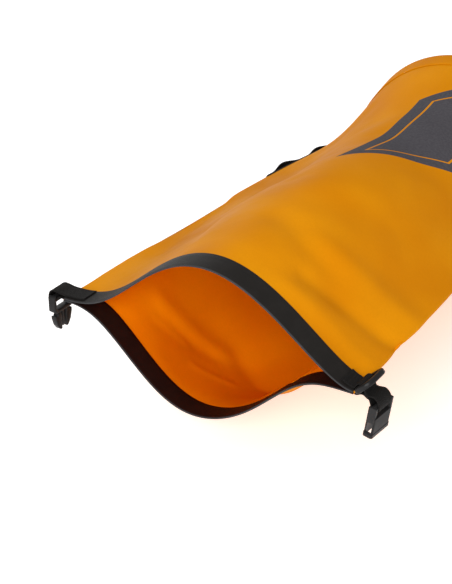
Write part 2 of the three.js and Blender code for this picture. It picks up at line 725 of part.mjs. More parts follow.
const ring = new THREE.Group();
ring.position.set(RING_BAR.x, WEBBING_CENTRE_Y, RING_BAR.z);
ring.rotation.set(0, radians(90 - RING_LEAN), 0);
bag.add(ring);
addNode('d_ring', dRing(), mouldedPlastic, ring);

// The origin is on the floor, under the middle of the whole object.
bag.updateMatrixWorld(true);
const extent = new THREE.Box3().setFromObject(bag, true);
const middle = extent.getCenter(new THREE.Vector3());
bag.position.set(-middle.x, -middle.y, -extent.min.z);

export default bag;
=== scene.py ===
import json
import math

import bmesh
import bpy
import numpy as np
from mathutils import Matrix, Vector


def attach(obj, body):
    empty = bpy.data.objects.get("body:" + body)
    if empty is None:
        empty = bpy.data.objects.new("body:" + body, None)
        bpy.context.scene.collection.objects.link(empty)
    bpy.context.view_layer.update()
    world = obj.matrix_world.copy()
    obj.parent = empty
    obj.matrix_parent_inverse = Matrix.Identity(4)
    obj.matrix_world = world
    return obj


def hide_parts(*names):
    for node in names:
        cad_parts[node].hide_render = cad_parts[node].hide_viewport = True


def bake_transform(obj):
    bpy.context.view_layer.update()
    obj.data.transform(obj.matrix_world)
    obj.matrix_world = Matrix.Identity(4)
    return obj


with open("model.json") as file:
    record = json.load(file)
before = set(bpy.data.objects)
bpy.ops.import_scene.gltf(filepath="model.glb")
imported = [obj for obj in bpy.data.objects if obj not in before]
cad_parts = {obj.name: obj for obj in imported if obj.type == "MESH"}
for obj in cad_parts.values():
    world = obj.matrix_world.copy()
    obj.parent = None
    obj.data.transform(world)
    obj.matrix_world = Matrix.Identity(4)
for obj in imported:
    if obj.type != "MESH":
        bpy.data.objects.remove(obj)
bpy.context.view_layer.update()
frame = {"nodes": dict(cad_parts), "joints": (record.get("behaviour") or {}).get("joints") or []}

# ---- sizes in millimetres, measured from the middle of the mouth: X along the mouth, Y to the base, Z up
MOUTH_HALF_WIDTH = 150
BAG_LENGTH = 540
TUBE_RADIUS = 116.5
TUBE_CENTRE = (4, -12)
FLOOR_Z = -124
# The mouth's shape turns into the tube's along the bag: partly steadily, and partly late, as a power.
ROUNDING = {"steady": 0.47, "late": 5.5}
# The underside takes the tube's shape sooner, by this share of the length, except past "from" degrees.
UNDERSIDE_SETTLES_AT = 0.32
UNDERSIDE_SPREAD = 1.2
LATE_SIDE = {"from": 258, "over": 60, "lag": 0.9}
# The top of the cloth sinks between the mouth and the base: mm deep, shares of the length at which
# it starts and ends, and how far it spreads sideways.
SAG = {"depth": 18, "from": 0.35, "over": 0.35, "last": 0.22, "spread": 1.6}
CORNER_ANGLE = 2.4  # degrees of the tube that belong to half a corner of the mouth
# Each lip: how high and how far forward its middle is, powers that shape its ends, and fullness.
UPPER_LIP = {"rise": 91.6, "forward": -28.4, "left": 2.63, "right": 1.99, "fullness": 0.28}
LOWER_LIP = {"rise": -89.3, "forward": 16.4, "left": 3.83, "right": 4.4, "fullness": 2.13}
LIP_LENGTH = 366
PRESSED_AT_LIP = 0.5  # share of their height that the layers lose where they are welded flat
PRESSED_UNTIL, PRESSED_OVER = 62, 36
MM_PER_DEGREE = 2 * LIP_LENGTH / 360  # cloth around the bag

# Layers, as distances out from the middle surface.
WALL = (1.1, 1.9)
BAND_OUTER = (2.2, 3.0)
BAND_INNER_AT_CORNER = (0.3, 0.8)
BAND_INNER_AT_OPENING = (-0.7, -0.2)
SEAM_TAPE = (0.5, 0.95)
BASE_TAPE = (2.2, 3.0)
LASH_PATCH = (2.0, 2.8)
LASH_STRIP = (2.9, 4.3)

BAND_WIDTH = 24
BASE_TAPE_WIDTH = 20
BASE_TAPE_RETURN = 14
TAPE_STEP_AT = BAG_LENGTH - BASE_TAPE_WIDTH - 2.5  # the tube makes room for the tape from here on
BASE_BACK = BAG_LENGTH + 2.0  # just behind the base disc, where its tape lies
FLOOR_SOFTNESS = 2.0  # how gently the cloth meets the floor
LASH_START, LASH_END, LASH_LOOPS, LASH_TACK, LASH_RISE = 350, 493, 2, 9, 5.5
LASH_SPANS = {"left": (178.8, 188.66), "right": (351.34, 361.2)}  # degrees around the tube
LASH_MARGIN = 4  # mm of patch past each end of a strip
LASH_SIDE_MARGIN = 2  # degrees of patch past each side of it
TACK_STITCHES = (2.0, 3.6, 5.2, 6.8)  # mm from the start of a tack
SEAM_ANGLE = 320
SEAM_TAPE_HALF_ANGLE = 5.5
SEAM_STEP = {"height": 0.55, "half_width": 7, "edge": 1.2}

WEBBING_THICKNESS = 1.4
WEBBING_WIDTH = 20
WEBBING_CENTRE_Y = 12.5
# Where the straps bend, and the bars they go round, as (x, z).
LEFT_FLEX = (-158.2, WEBBING_CENTRE_Y, 0.0)
MALE_BAR = (-164.3, -3.6)
FEMALE_BAR = (169.5, -10.5)
RING_BAR = (154.2, 3.6)
FEMALE_YAW = 5
RING_LEAN = 45
RING_SHAPE = {"half_width": 16.5, "reach": 20, "bow_radius": 11.5, "section": 5.0, "foot": 1.2}
RING_SQUARENESS = 0.62  # 1 would be an ellipse in section

JOINTS = {joint["name"]: joint for joint in frame["joints"]}
ORIGIN = np.array(JOINTS["left_strap_flex"]["pos_m"]) * 1000 - LEFT_FLEX


def placed(points):
    """Millimetres from the mouth's middle to metres in the row frame."""
    return (np.asarray(points, float) + ORIGIN) / 1000


def smooth(x):
    s = np.clip(x, 0, 1)
    return s * s * (3 - 2 * s)


# ---- the loft: stations around the bag, and the surface between the mouth and the base
class Ring:
    """Stations around the bag: place and outward direction at the mouth, and angle at the base."""

    def __init__(self, place, facing, angle, share):
        self.place, self.facing, self.angle, self.share = place, facing, angle, share

    def between(self, start, end, count):
        """Stations at equal steps of the angle from start to end."""
        angle = np.linspace(start, end, count)

        def at(values):
            return np.interp(angle, self.angle, values)

        place = np.stack([at(column) for column in self.place.T], -1)
        facing = np.stack([at(column) for column in self.facing.T], -1)
        return Ring(place, facing, angle, at(self.share))

    def part(self, chosen):
        return Ring(self.place[chosen], self.facing[chosen], self.angle[chosen], self.share[chosen])


def lip_shape(lip, u):
    return (1 + u) ** lip["left"] * (1 - u) ** lip["right"] * (1 + lip["fullness"] * u * u)


def lip_peak(lip):
    return lip_shape(lip, np.linspace(-1, 1, 401)).max()


def lip_points(lip, steps):
    """Points at equal steps along a lip, from the right corner to the left one."""
    u = np.linspace(1, -1, 2001)
    rise = lip_shape(lip, u) / lip_peak(lip)
    fine = np.stack([MOUTH_HALF_WIDTH * u, lip["forward"] * rise, lip["rise"] * rise], -1)
    run = np.concatenate([[0], np.cumsum(np.linalg.norm(np.diff(fine, axis=0), axis=1))])
    goal = np.linspace(0, run[-1], steps + 1)
    return np.stack([np.interp(goal, run, column) for column in fine.T], -1)


def make_ring(steps, corner_steps):
    places, facings, angles, shares = [], [], [], []
    for lip, side, start in ((UPPER_LIP, 1, 0), (LOWER_LIP, -1, 180)):
        points = lip_points(lip, steps)[::side]
        run = np.gradient(points, axis=0)
        facing = np.stack([run[:, 2], -run[:, 0]], -1)
        facing /= np.linalg.norm(facing, axis=1)[:, None]
        facing[0] = facing[-1] = (0, side)
        places.append(points)
        facings.append(facing)
        angles.append(start + CORNER_ANGLE + np.linspace(0, 180 - 2 * CORNER_ANGLE, steps + 1))
        shares.append(np.linspace(0, 1, steps + 1))
        turn = np.linspace(-1, 1, corner_steps + 2)[1:-1]
        toward = np.radians(start + 180 + 90 * turn)
        places.append(np.repeat(points[-1:], corner_steps, 0))
        facings.append(np.stack([np.cos(toward), np.sin(toward)], -1))
        angles.append(start + 180 + CORNER_ANGLE * turn)
        shares.append(np.zeros(corner_steps))
    return Ring(*(np.concatenate(rows) for rows in (places, facings, angles, shares)))


LIP_STEPS, CORNER_STEPS = 120, 6
RING = make_ring(LIP_STEPS, CORNER_STEPS)
LOWER_FIRST = LIP_STEPS + 1 + CORNER_STEPS
UPPER_STATIONS = RING.part(slice(0, LIP_STEPS + 1))
LOWER_STATIONS = RING.part(slice(LOWER_FIRST, LOWER_FIRST + LIP_STEPS + 1))

# Soft folds of the cloth, drawn one by one: (degrees around, mm along) at both ends, half width and
# height outwards.
FOLDS = [
    ((80, 116), (38, 86), 19, -3.4),
    ((50, 66), (4, 88), 13, -3.6),
    ((58, 112), (8, 130), 16, 2.6),
    ((52, 38), (8, 42), 12, 1.6),
    ((84, 150), (40, 205), 26, -2.2),
    ((120, 70), (142, 150), 20, -2.4),
    ((100, 210), (140, 290), 30, -2.4),
    ((207, 92), (234, 142), 13, -2.0),
    ((214, 72), (232, 118), 12, 1.3),
    ((212, 70), (224, 92), 6, -0.8),
    ((238, 78), (252, 104), 6, -0.8),
    ((244, 150), (276, 128), 14, 2.2),
    ((286, 70), (318, 110), 12, -2.6),
    ((300, 150), (340, 200), 18, -3.2),
    ((168, 120), (176, 260), 14, -3.0),
    ((188, 150), (196, 330), 16, -3.4),
    ((348, 140), (356, 300), 16, -3.2),
    ((60, 330), (96, 380), 24, -2.2),
    ((40, 420), (66, 470), 18, -1.8),
    ((110, 420), (134, 478), 18, -2.0),
    ((190, 400), (220, 470), 16, -2.2),
    ((330, 380), (352, 460), 16, -2.4),
]


# Ripples all over the cloth: turns around, mm for one radian along, start, and height in mm.
RIPPLES = [(3, 60, 0, 0.5), (5, -37, 1, 0.35), (9, 23, 0, 0.25)]
# Folds and ripples come in and die away over these distances, in mm.
FOLDS_IN, FOLDS_IN_OVER, FOLDS_OUT_OVER = 22, 30, 50


def fold_height(angle, along):
    """How far the fabric stands out from the plain loft, in mm."""
    height = np.zeros(np.broadcast(angle, along).shape)
    for (a0, t0), (a1, t1), width, rise in FOLDS:
        across = ((angle - a0 + 180) % 360 - 180) * MM_PER_DEGREE
        run_a, run_t = (a1 - a0) * MM_PER_DEGREE, t1 - t0
        length2 = run_a**2 + run_t**2
        at = np.clip((across * run_a + (along - t0) * run_t) / length2, 0, 1)
        gap2 = (across - at * run_a) ** 2 + (along - t0 - at * run_t) ** 2
        height = height + rise * np.exp(-gap2 / width**2)
    around = np.radians(angle)
    ripple = sum(size * np.sin(turns * around + along / run + start) for turns, run, start, size in RIPPLES)
    fade = smooth((along - FOLDS_IN) / FOLDS_IN_OVER) * smooth((TAPE_STEP_AT + 6 - along) / FOLDS_OUT_OVER)
    inside_seam = SEAM_STEP["half_width"] - np.abs(angle - SEAM_ANGLE) * MM_PER_DEGREE
    seam = SEAM_STEP["height"] * smooth(inside_seam / SEAM_STEP["edge"]) * smooth(along / 8)
    return (height + ripple) * fade + seam * smooth((TAPE_STEP_AT - along) / 6)


def surface(ring, along, out):
    """Points of the loft, in mm: rows of distances from the mouth by stations of the ring."""
    along, out, _ = np.broadcast_arrays(np.asarray(along, float), np.asarray(out, float), ring.angle)
    angle = np.radians(ring.angle)
    share = np.clip(along / BAG_LENGTH, 0, 1)
    slow = ROUNDING["steady"] * share + (1 - ROUNDING["steady"]) * share ** ROUNDING["late"]
    late = LATE_SIDE["lag"] * smooth((ring.angle - LATE_SIDE["from"]) / LATE_SIDE["over"])
    underside = smooth(-np.sin(angle) * UNDERSIDE_SPREAD) * (1 - late)
    w = slow + (np.maximum(smooth(share / UNDERSIDE_SETTLES_AT), slow) - slow) * underside
    out_x = np.cos(angle) * w + ring.facing[:, 0] * (1 - w)
    out_z = np.sin(angle) * w + ring.facing[:, 1] * (1 - w)
    size = np.hypot(out_x, out_z)
    pressed = 1 - PRESSED_AT_LIP * smooth((PRESSED_UNTIL - along) / PRESSED_OVER)
    lift = (out * pressed + fold_height(ring.angle, along)) / size
    x = (1 - w) * ring.place[:, 0] + w * (TUBE_CENTRE[0] + TUBE_RADIUS * np.cos(angle)) + out_x * lift
    z = (1 - w) * ring.place[:, 2] + w * (TUBE_CENTRE[1] + TUBE_RADIUS * np.sin(angle)) + out_z * lift
    sunk = smooth((share - SAG["from"]) / SAG["over"]) * smooth((1 - share) / SAG["last"])
    z = z - SAG["depth"] * sunk * smooth(np.sin(angle) * SAG["spread"])
    y = (1 - w) * ring.place[:, 1] + along
    lowest = WALL[1] + (BASE_TAPE[1] - WALL[1]) * smooth((along - TAPE_STEP_AT + 8) / 8)
    floor = FLOOR_Z + lowest - out
    above = z - floor
    z = floor + (above + np.hypot(above, FLOOR_SOFTNESS)) / 2
    return np.stack([x, y, z], -1)


# ---- mesh building
def mesh_piece(name, points, faces, uvs=None, face_materials=None, materials=(), smooth_faces=True):
    """A piece from points in mm, faces, one UV for each point, and a material number for each face."""
    mesh = bpy.data.meshes.new(name)
    mesh.from_pydata(placed(points).tolist(), [], [list(face) for face in faces])
    for material in materials:
        mesh.materials.append(material)
    if face_materials is not None:
        mesh.polygons.foreach_set("material_index", np.asarray(face_materials, np.int32))
    if uvs is not None:
        layer = mesh.uv_layers.new(name="cloth")
        index = np.zeros(len(mesh.loops), np.int32)
        mesh.loops.foreach_get("vertex_index", index)
        layer.data.foreach_set("uv", np.asarray(uvs, np.float32)[index].ravel())
    mesh.polygons.foreach_set("use_smooth", np.full(len(mesh.polygons), smooth_faces))
    mesh.update()
    piece = bpy.data.objects.new(name, mesh)
    bpy.context.scene.collection.objects.link(piece)
    return piece


def grid_faces(rows, columns, first=0, wrap=False, flip=False):
    """Quads of a grid whose points are numbered row by row."""
    r = np.arange(rows - 1)[:, None]
    c = np.arange(columns if wrap else columns - 1)[None, :]
    n = (c + 1) % columns
    quads = np.stack([r * columns + c, (r + 1) * columns + c, (r + 1) * columns + n, r * columns + n], -1)
    quads = quads.reshape(-1, 4) + first
    return quads[:, ::-1] if flip else quads


def face_outwards(piece):
    work = bmesh.new()
    work.from_mesh(piece.data)
    bmesh.ops.recalc_face_normals(work, faces=work.faces)
    work.to_mesh(piece.data)
    work.free()
    return piece


def layer_piece(name, ring, along, inner, outer, materials, wrap=False):
    """A layer of the bag between two distances out: outer skin, inner skin and the edges between."""
    along = np.asarray(along, float)[:, None]
    rows, columns = len(along), len(ring.angle)
    skins = np.concatenate([surface(ring, along, out).reshape(-1, 3) for out in (outer, inner)])
    size = rows * columns
    quads = [grid_faces(rows, columns, 0, wrap), grid_faces(rows, columns, size, wrap, True)]
    chosen = [np.zeros(len(quads[0])), np.ones(len(quads[1]))]
    step = np.arange(columns if wrap else columns - 1)
    following = (step + 1) % columns
    last = (rows - 1) * columns
    for base, turned in ((0, False), (last, True)):
        rim = np.stack([base + step, base + following, size + base + following, size + base + step], -1)
        quads.append(rim[:, ::-1] if turned else rim)
        chosen.append(np.full(len(rim), 2))
    if not wrap:
        step = np.arange(rows - 1)
        for column, turned in ((0, True), (columns - 1, False)):
            a, b = step * columns + column, (step + 1) * columns + column
            rim = np.stack([a, b, size + b, size + a], -1)
            quads.append(rim[:, ::-1] if turned else rim)
            chosen.append(np.full(len(rim), 2))
    u = np.broadcast_to(ring.angle * MM_PER_DEGREE / 1000, (rows, columns))
    v = np.broadcast_to(along / 1000, (rows, columns))
    uv = np.stack([u, v], -1).reshape(-1, 2)
    numbers = np.minimum(np.concatenate(chosen), len(materials) - 1)
    piece = mesh_piece(name, skins, np.concatenate(quads), np.concatenate([uv, uv]), numbers, materials)
    return face_outwards(piece)


def swept_piece(name, sections, uvs, materials, face_row=None, closed=False):
    """A closed skin through sections of points, one after another, with its ends filled."""
    sections = np.asarray(sections, float)
    count, size = sections.shape[:2]
    faces = grid_faces(count, size, 0, True).tolist()
    numbers = list(np.tile(face_row, count - 1)) if face_row is not None else [0] * len(faces)
    if closed:
        a = np.arange(size)
        b = (a + 1) % size
        last = (count - 1) * size
        faces += np.stack([last + a, a, b, last + b], -1).tolist()
        numbers += list(face_row) if face_row is not None else [0] * size
    else:
        faces += [list(range(size)), list(range((count - 1) * size, count * size))]
        numbers += [numbers[0], numbers[0]]
    uvs = np.asarray(uvs).reshape(-1, 2)
    piece = mesh_piece(name, sections.reshape(-1, 3), faces, uvs, numbers, materials)
    return face_outwards(piece)


# ---- materials
class Nodes:
    """Short calls for building a material's nodes."""

    def __init__(self, name):
        self.material = bpy.data.materials.new(name)
        self.material.use_nodes = True
        self.tree = self.material.node_tree
        self.shader = self.tree.nodes["Principled BSDF"]

    def link(self, value, socket):
        if isinstance(value, bpy.types.NodeSocket):
            self.tree.links.new(value, socket)
        else:
            socket.default_value = value

    def add(self, kind, output=0, settings=(), **inputs):
        node = self.tree.nodes.new(kind)
        for key, value in dict(settings).items():
            setattr(node, key, value)
        for key, value in inputs.items():
            self.link(value, node.inputs[key.replace("_", " ")])
        return node.outputs[output]

    def maths(self, operation, *values, clamp=False):
        node = self.tree.nodes.new("ShaderNodeMath")
        node.operation, node.use_clamp = operation, clamp
        for socket, value in zip(node.inputs, values):
            self.link(value, socket)
        return node.outputs[0]

    def cloth(self):
        """The cloth's own coordinates, in metres: around the bag or across the strap, and along it."""
        split = self.tree.nodes.new("ShaderNodeSeparateXYZ")
        self.link(self.add("ShaderNodeUVMap", settings={"uv_map": "cloth"}), split.inputs[0])
        return split.outputs[0], split.outputs[1]

    def wave(self, value, pitch):
        """A sine of this pitch, from 0 to 1."""
        turned = self.maths("MULTIPLY", value, 2 * math.pi / pitch)
        return self.maths("MULTIPLY_ADD", self.maths("SINE", turned), 0.5, 0.5)

    def noise(self, scale, detail=3.0, vector=None, roughness=0.5):
        where = vector or self.add("ShaderNodeTexCoord", 3)
        settings = {"Vector": where, "Scale": scale, "Detail": detail, "Roughness": roughness}
        return self.add("ShaderNodeTexNoise", 0, **settings)

    def between(self, value, low, high, to_low=0.0, to_high=1.0):
        node = self.tree.nodes.new("ShaderNodeMapRange")
        for socket, number in zip(node.inputs, (value, low, high, to_low, to_high)):
            self.link(number, socket)
        return node.outputs[0]

    def mix(self, share, first, second):
        node = self.tree.nodes.new("ShaderNodeMix")
        node.data_type = "RGBA"
        for socket, value in ((node.inputs[0], share), (node.inputs[6], first), (node.inputs[7], second)):
            self.link((*value, 1.0) if isinstance(value, tuple) else value, socket)
        return node.outputs[2]

    def bump(self, height, distance, strength=1.0, normal=None):
        node = self.tree.nodes.new("ShaderNodeBump")
        self.link(height, node.inputs["Height"])
        self.link(distance, node.inputs["Distance"])
        self.link(strength, node.inputs["Strength"])
        if normal:
            self.link(normal, node.inputs["Normal"])
        return node.outputs[0]

    def finish(self, colour, roughness, normal=None, **fixed):
        base = (*colour, 1.0) if isinstance(colour, tuple) else colour
        self.link(base, self.shader.inputs["Base Color"])
        self.link(roughness, self.shader.inputs["Roughness"])
        if normal:
            self.link(normal, self.shader.inputs["Normal"])
        for key, value in fixed.items():
            self.shader.inputs[key.replace("_", " ")].default_value = value
        return self.material


# Pitches of the weaves, in metres.
COATED_PITCH, BAND_PITCH, RIB_PITCH, THREAD_PITCH = 0.0011, 0.0009, 0.0017, 0.0013


def fine_weave(nodes, pitch):
    """The faint plain weave that shows through a coating, from 0 to 1."""
    u, v = nodes.cloth()
    turns = 2 * math.pi / pitch
    across = nodes.maths("SINE", nodes.maths("MULTIPLY", u, turns))
    along = nodes.maths("SINE", nodes.maths("MULTIPLY", v, turns))
    return nodes.maths("MULTIPLY_ADD", nodes.maths("MULTIPLY", across, along), 0.5, 0.5)


def coated_fabric(name, light, dark, printed=False):
    nodes = Nodes(name)
    patches = nodes.between(nodes.noise(9.0, 2.0), 0.35, 0.65)
    specks = nodes.between(nodes.noise(420.0, 2.0), 0.3, 0.7)
    colour = nodes.mix(patches, dark, light)
    colour = nodes.mix(nodes.maths("MULTIPLY", specks, 0.10), colour, tuple(c * 0.7 for c in dark))
    roughness = nodes.between(nodes.noise(30.0), 0.3, 0.7, 0.42, 0.54)
    if printed:
        ink = print_mask(nodes)
        ink_colour = nodes.mix(specks, (0.066, 0.062, 0.070), (0.085, 0.080, 0.088))
        colour = nodes.mix(ink, colour, ink_colour)
        roughness = nodes.maths("MULTIPLY_ADD", ink, 0.12, roughness)
    weave = nodes.bump(fine_weave(nodes, COATED_PITCH), 0.00005, 0.5)
    crinkle = nodes.bump(nodes.noise(55.0, 4.0), 0.0005, 0.35, weave)
    return nodes.finish(
        colour, roughness, crinkle, Specular_IOR_Level=0.01,
    )


# The print is a plain slanting panel with one line left out of it: edges in degrees and metres.
PRINT = {"left": 95, "right": 47, "front": 0.273, "back": 0.455, "slant": 0.0019, "line": 0.017}


def print_mask(nodes):
    u, v = nodes.cloth()
    degree = MM_PER_DEGREE / 1000
    angle = nodes.maths("DIVIDE", u, degree)
    past_left = nodes.maths("SUBTRACT", PRINT["left"], angle)
    slid = nodes.maths("SUBTRACT", v, nodes.maths("MULTIPLY", past_left, PRINT["slant"]))
    from_front = nodes.maths("SUBTRACT", slid, PRINT["front"])
    from_back = nodes.maths("SUBTRACT", PRINT["back"], slid)
    from_left = nodes.maths("MULTIPLY", past_left, degree)
    from_right = nodes.maths("MULTIPLY", nodes.maths("SUBTRACT", angle, PRINT["right"]), degree)
    lengthwise = nodes.maths("MINIMUM", from_front, from_back)
    depth = nodes.maths("MINIMUM", lengthwise, nodes.maths("MINIMUM", from_left, from_right))
    inside = nodes.between(depth, 0.0, 0.0004)
    off_line = nodes.maths("ABSOLUTE", nodes.maths("SUBTRACT", depth, PRINT["line"]))
    return nodes.maths("MULTIPLY", inside, nodes.between(off_line, 0.0009, 0.0013))


def band_fabric(name, light, dark, roughness=(0.5, 0.62)):
    """The matt rubbery band: fine grain and faint scuffs."""
    nodes = Nodes(name)
    grain = nodes.noise(900.0, 2.0)
    scuffs = nodes.between(nodes.noise(60.0, 5.0, roughness=0.65), 0.45, 0.75)
    mottle = nodes.maths("MULTIPLY_ADD", grain, 0.5, nodes.maths("MULTIPLY", scuffs, 0.5))
    colour = nodes.mix(mottle, dark, light)
    rough = nodes.between(grain, 0.3, 0.7, *roughness)
    weave = nodes.bump(fine_weave(nodes, BAND_PITCH), 0.00005, 0.6)
    normal = nodes.bump(grain, 0.00006, 0.6, weave)
    return nodes.finish(colour, rough, normal, Specular_IOR_Level=0.06)


def woven_webbing(name, light, dark):
    """Herringbone webbing: slanting ribs that turn at the middle, with a plain woven edge."""
    nodes = Nodes(name)
    u, v = nodes.cloth()
    side = nodes.maths("ABSOLUTE", u)
    slant = nodes.maths("MULTIPLY_ADD", side, 0.9, v)
    ribs = nodes.wave(slant, RIB_PITCH)
    ends = nodes.wave(u, THREAD_PITCH)
    height = nodes.maths("MULTIPLY", ribs, nodes.maths("MULTIPLY_ADD", ends, 0.5, 0.5))
    fuzz = nodes.noise(1400.0, 2.0)
    # Painted shade, in part: the colour darkens in the grooves between the ribs, and the fuzz adds random
    # tone.
    shade = nodes.maths("MULTIPLY_ADD", height, 0.7, nodes.maths("MULTIPLY", fuzz, 0.3))
    colour = nodes.mix(shade, dark, light)
    normal = nodes.bump(height, 0.00025, 0.9, nodes.bump(fuzz, 0.00006, 0.5))
    rough = nodes.between(fuzz, 0.3, 0.7, 0.6, 0.8)
    return nodes.finish(colour, rough, normal, Specular_IOR_Level=0.08)


def moulded_plastic(name, light, dark, roughness=(0.28, 0.42)):
    """Acetal with a fine spark-eroded grain and a painted highlight that lightens its sharp edges."""
    nodes = Nodes(name)
    grain = nodes.noise(2200.0, 2.0)
    clouds = nodes.between(nodes.noise(120.0, 3.0), 0.35, 0.65)
    # Painted highlight: the colour turns lighter on sharp convex edges, where light would catch them.
    edges = nodes.add("ShaderNodeNewGeometry", 7)
    painted_edge_highlight = nodes.between(edges, 0.5, 0.62)
    colour = nodes.mix(clouds, dark, light)
    colour = nodes.mix(nodes.maths("MULTIPLY", painted_edge_highlight, 0.5), colour, tuple(c * 2.2 for c in light))
    rough = nodes.between(clouds, 0.0, 1.0, *roughness)
    normal = nodes.bump(grain, 0.00004, 0.5)
    return nodes.finish(colour, rough, normal, Specular_IOR_Level=0.1)


ORANGE_OUT = coated_fabric("orange_coated_fabric", (0.70, 0.262, 0.003), (0.61, 0.205, 0.002), printed=True)
ORANGE_PLAIN = coated_fabric("orange_plain_fabric", (0.70, 0.262, 0.003), (0.61, 0.205, 0.002))
# The lining is the same orange cloth as the outside: its brighter, redder colour is painted light, standing
# in for light bounced inside the tube and shining through the cloth.
ORANGE_LINING_PAINTED_BOUNCE = coated_fabric("orange_lining_painted_bounce", (0.95, 0.29, 0.001), (0.88, 0.225, 0.001))
ORANGE_EDGE = coated_fabric("orange_cut_edge", (0.55, 0.17, 0.004), (0.42, 0.12, 0.003))
TAPE = coated_fabric("orange_seam_tape", (0.66, 0.235, 0.003), (0.57, 0.185, 0.002))
BAND = band_fabric("charcoal_band", (0.021, 0.018, 0.016), (0.012, 0.0105, 0.0095))
# The band's inner face is the same charcoal: its redder tint is painted light, the orange bounce from
# inside the bag.
BAND_INSIDE_PAINTED_BOUNCE = band_fabric("charcoal_band_inside_painted_bounce", (0.023, 0.0085, 0.006), (0.013, 0.0045, 0.0035))
BAND_EDGE = band_fabric("charcoal_band_edge", (0.05, 0.05, 0.052), (0.03, 0.03, 0.031))
WEBBING = woven_webbing("black_webbing_weave", (0.016, 0.0145, 0.0135), (0.005, 0.0045, 0.004))
THREAD = woven_webbing("black_thread", (0.05, 0.048, 0.046), (0.02, 0.019, 0.018))
PLASTIC = moulded_plastic("black_acetal", (0.013, 0.0125, 0.0125), (0.009, 0.0085, 0.0085))


# ---- the bag: body, base, tapes and bands
def rows_between(*stops):
    """Distances from the mouth, finer where a stop asks for it: (from, to, step) in turn."""
    rows = [np.arange(start, end, step) for start, end, step in stops]
    return np.concatenate([*rows, [stops[-1][1]]])


def make_body():
    rows = rows_between((0, 24, 6), (24, 210, 3), (210, 510, 6), (510, BAG_LENGTH, 3))
    skins = [ORANGE_OUT, ORANGE_LINING_PAINTED_BOUNCE, ORANGE_EDGE]
    body = layer_piece("bag_body", RING, rows, *WALL, skins, wrap=True)
    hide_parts("body_panel")
    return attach(body, "bag")


BASE_SAG, BASE_PUCKER, BASE_PUCKERS = 4.5, 0.5, 13


def make_base():
    """The round end: a disc that sags a little inwards, with soft puckers near its seam."""
    rim = surface(RING, [[BAG_LENGTH]], WALL[1])[0]
    centre = rim.mean(0)
    shares = np.concatenate([np.linspace(0.02, 0.8, 22), np.linspace(0.82, 1, 12)])
    angle = np.radians(RING.angle)
    skins = []
    for back in (True, False):
        for share in shares:
            points = centre + (rim - centre) * share
            sag = BASE_SAG * (1 - share**2) ** 1.5
            near_seam = smooth((share - 0.55) / 0.3) * smooth((0.99 - share) / 0.12)
            pucker = BASE_PUCKER * np.sin(BASE_PUCKERS * angle + 1) * near_seam
            points[:, 1] = BAG_LENGTH + (1.7 if back else 0.6) - sag + pucker
            skins.append(points)
    columns, rows = len(RING.angle), len(shares)
    faces = np.concatenate([
        grid_faces(rows, columns, 0, True, True),
        grid_faces(rows, columns, rows * columns, True),
    ]).tolist()
    a = np.arange(columns)
    b = (a + 1) % columns
    outer, inner = (rows - 1) * columns, (2 * rows - 1) * columns
    faces += np.stack([outer + a, inner + a, inner + b, outer + b], -1).tolist()
    faces += [list(range(columns)), list(range(rows * columns, rows * columns + columns))[::-1]]
    points = np.concatenate(skins)
    half = rows * columns
    numbers = [1 if min(face) >= half else 0 for face in faces]
    uv = points[:, [0, 2]] / 1000
    base = face_outwards(mesh_piece("base_disc", points, faces, uv, numbers, [ORANGE_PLAIN, ORANGE_LINING_PAINTED_BOUNCE]))
    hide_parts("base_panel")
    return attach(base, "bag")


def profile_piece(name, ring, profile, materials, face_row, closed):
    """A closed section carried around the bag: profile gives (along, out) for each station."""
    sections, uvs = [], []
    for along, out in profile:
        inside = np.clip(along, 0, BAG_LENGTH)
        points = surface(ring, inside, out)
        points[:, 1] += along - inside
        sections.append(points)
        lengthwise = np.broadcast_to(along + 3 * out, ring.angle.shape)
        uvs.append(np.stack([ring.angle * MM_PER_DEGREE, lengthwise], -1) / 1000)
    sections = np.stack(sections, 1)
    uvs = np.stack(uvs, 1)
    return swept_piece(name, sections, uvs, materials, face_row, closed)


def make_base_tape():
    back = BASE_BACK + 0.8
    inner, outer = BASE_TAPE
    start = BAG_LENGTH - BASE_TAPE_WIDTH
    outline = [(start, outer - 0.25), (start + 0.3, outer)]
    outline += [(y, outer) for y in np.linspace(start + 4, BAG_LENGTH - 1, 5)]
    turn = np.radians(np.linspace(0, 90, 5))
    radius = back - BAG_LENGTH
    outline += [(BAG_LENGTH + radius * math.sin(t), outer - radius + radius * math.cos(t)) for t in turn]
    outline += [(back, -5), (back, 0.3 - BASE_TAPE_RETURN), (back - 0.3, -BASE_TAPE_RETURN)]
    outline += [(BASE_BACK, -BASE_TAPE_RETURN), (BASE_BACK, -5), (BASE_BACK, inner - 2.0)]
    outline += [(BAG_LENGTH, inner), (start, inner)]
    flat = np.ones(len(RING.angle))
    profile = [(flat * along, flat * out) for along, out in outline]
    tape = profile_piece("base_seam_tape_welded", RING, profile, [TAPE], None, True)
    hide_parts("base_seam_tape")
    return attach(tape, "bag")


def make_body_tape():
    ring = RING.between(SEAM_ANGLE - SEAM_TAPE_HALF_ANGLE, SEAM_ANGLE + SEAM_TAPE_HALF_ANGLE, 9)
    rows = rows_between((28, 210, 4), (210, BAG_LENGTH - 2, 6))
    tape = layer_piece("body_seam_tape_inside", ring, rows, *SEAM_TAPE, [TAPE, ORANGE_LINING_PAINTED_BOUNCE])
    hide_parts("body_seam_tape")
    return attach(tape, "bag")


